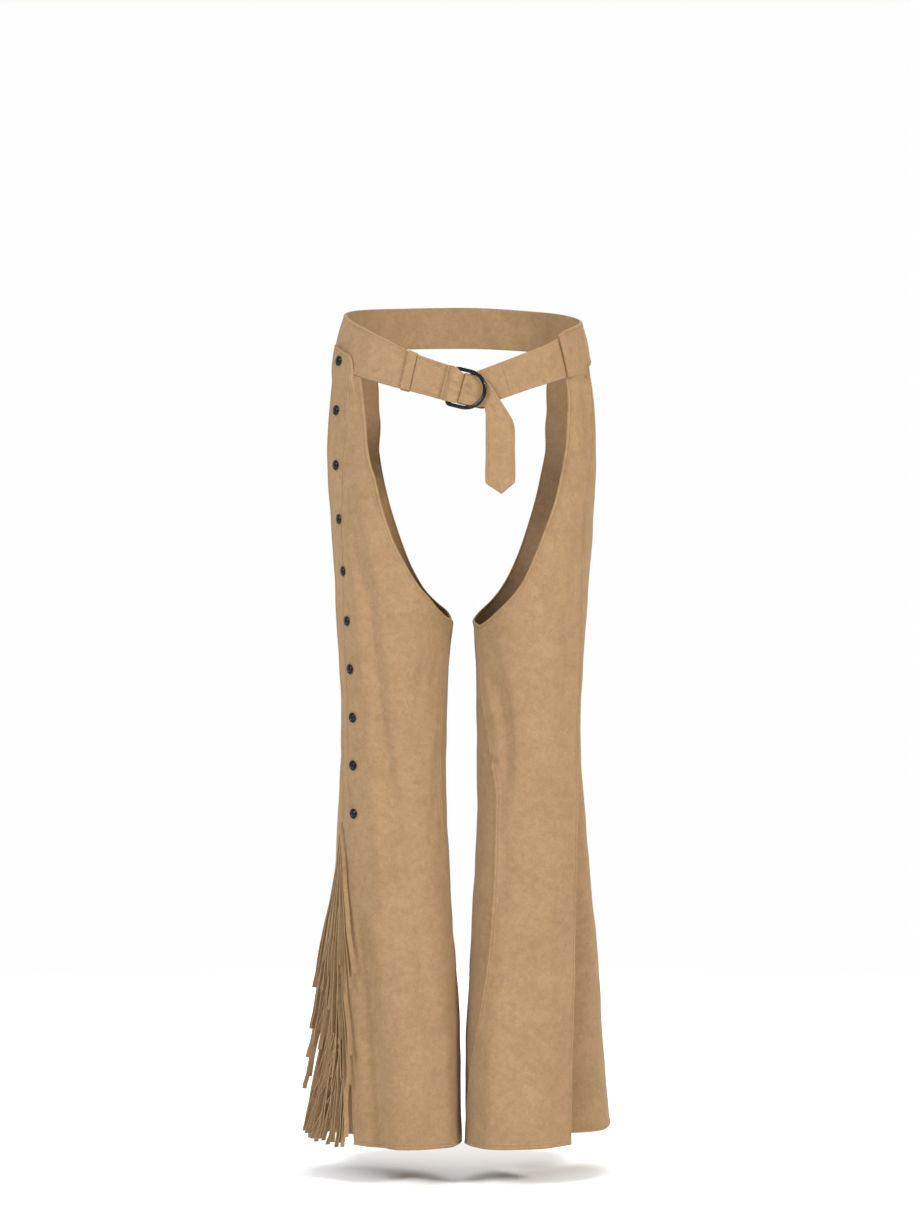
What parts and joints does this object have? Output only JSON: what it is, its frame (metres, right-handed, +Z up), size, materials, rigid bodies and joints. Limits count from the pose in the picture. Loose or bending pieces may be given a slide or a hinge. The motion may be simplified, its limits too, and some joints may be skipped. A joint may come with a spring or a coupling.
{
  "type": "suede chaps",
  "caption": "Flared suede chaps with a wide hip band closed by double D-rings, a snapped side placket and a long side fringe on one leg, open front and back.",
  "frame": {"origin": "middle of the hip ring, at the height of the middle of the waistband at the wearer's sides", "axes": "+X to the wearer's left, -Y to the wearer's front, +Z up along the legs"},
  "size_m": [0.3858, 0.261, 1.054],
  "materials": {
    "suede": "matt napped split suede, camel",
    "gunmetal": "polished dark gunmetal plate",
    "thread": "matt camel sewing thread"
  },
  "bodies": {
    "root": {"leg_front_right": "suede", "leg_back_right": "suede", "leg_front_left": "suede", "leg_back_left": "suede", "waistband": "suede", "belt_strap": "suede", "dring_tab": "suede", "belt_loop": "suede", "fringe_right": "suede", "dring_back": "gunmetal", "dring_front": "gunmetal", "snap_cap_01": "gunmetal", "snap_cap_02": "gunmetal", "snap_cap_03": "gunmetal", "snap_cap_04": "gunmetal", "snap_cap_05": "gunmetal", "snap_cap_06": "gunmetal", "snap_cap_07": "gunmetal", "snap_cap_08": "gunmetal", "snap_cap_09": "gunmetal", "snap_cap_10": "gunmetal", "snap_stud_01": "gunmetal", "snap_stud_02": "gunmetal", "snap_stud_03": "gunmetal", "snap_stud_04": "gunmetal", "snap_stud_05": "gunmetal", "snap_stud_06": "gunmetal", "snap_stud_07": "gunmetal", "snap_stud_08": "gunmetal", "snap_stud_09": "gunmetal", "snap_stud_10": "gunmetal"}
  },
  "joints": []
}
